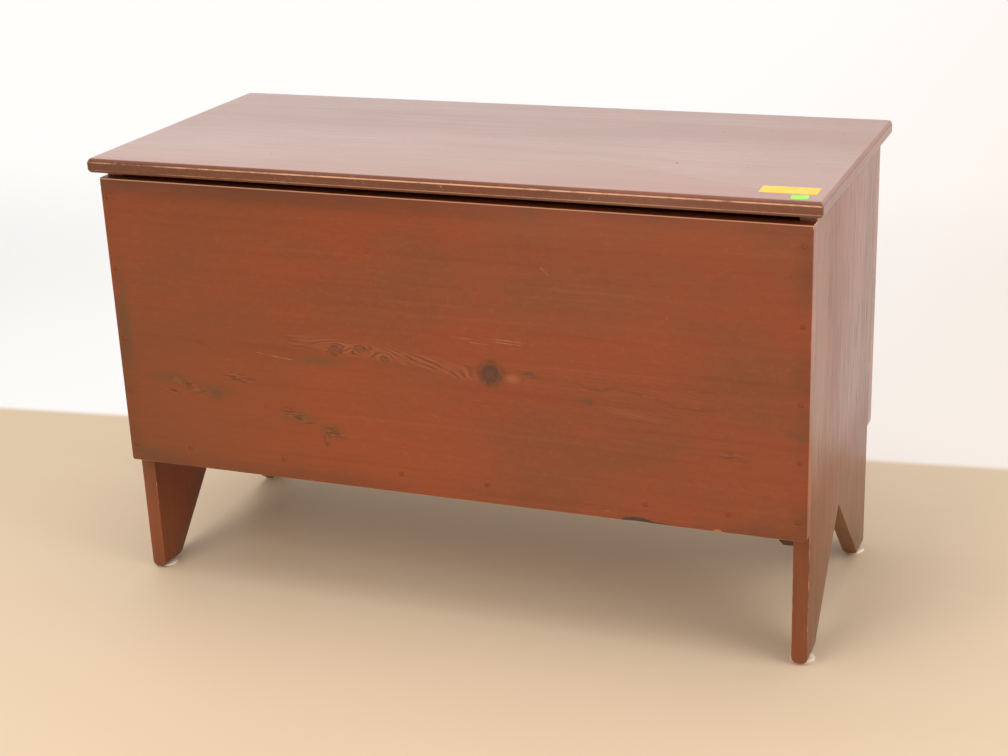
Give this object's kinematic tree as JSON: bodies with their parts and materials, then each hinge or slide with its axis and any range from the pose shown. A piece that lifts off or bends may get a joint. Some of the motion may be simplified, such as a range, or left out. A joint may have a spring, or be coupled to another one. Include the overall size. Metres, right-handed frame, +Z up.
{
  "type": "blanket chest",
  "caption": "Six-board pine blanket chest on bootjack ends, brick-red wash, with a moulded lid hinged at the back for storing linen.",
  "frame": {"origin": "on the ground under the middle of the lid's outline", "axes": "+X to the right seen from the front, +Y towards the back where the hinges are, +Z up"},
  "size_m": [1.033, 0.4606, 0.6467],
  "materials": {
    "front_pine": "transparent brick-red wash under satin varnish, worn",
    "end_pine": "transparent brick-red wash under satin varnish, worn",
    "back_pine": "thin brick-red wash, dry",
    "lid_pine": "transparent brick-red wash under satin varnish, worn on the arrises",
    "bare_pine": "old unfinished pine",
    "nail_iron": "old iron, stained over",
    "hinge_iron": "old dark iron",
    "screw_iron": "old dark iron, slots rubbed bright",
    "glide_felt": "pale pressed felt"
  },
  "bodies": {
    "case": {"back_board": "back_pine", "back_nails_bottom": "nail_iron", "back_nails_left": "nail_iron", "back_nails_right": "nail_iron", "cleat_left": "bare_pine", "cleat_nails_left": "nail_iron", "cleat_nails_right": "nail_iron", "cleat_right": "bare_pine", "end_board_left": "end_pine", "end_board_right": "end_pine", "floor_board": "bare_pine", "floor_nails_left": "nail_iron", "floor_nails_right": "nail_iron", "front_board": "front_pine", "front_nails_bottom": "nail_iron", "front_nails_left": "nail_iron", "front_nails_right": "nail_iron", "glide_back_left": "glide_felt", "glide_back_right": "glide_felt", "glide_front_left": "glide_felt", "glide_front_right": "glide_felt", "hinge_left_case_leaf": "hinge_iron", "hinge_left_case_screws": "screw_iron", "hinge_left_pin": "hinge_iron", "hinge_right_case_leaf": "hinge_iron", "hinge_right_case_screws": "screw_iron", "hinge_right_pin": "hinge_iron"},
    "lid": {"hinge_left_lid_leaf": "hinge_iron", "hinge_left_lid_screws": "screw_iron", "hinge_right_lid_leaf": "hinge_iron", "hinge_right_lid_screws": "screw_iron", "lid_board": "lid_pine"}
  },
  "joints": [
    {"name": "lid_hinge", "type": "hinge", "parent": "case", "child": "lid", "pos_m": [0, 0.22375, 0.6261], "axis": [-1, 0, 0], "range_deg": [0, 102]}
  ]
}
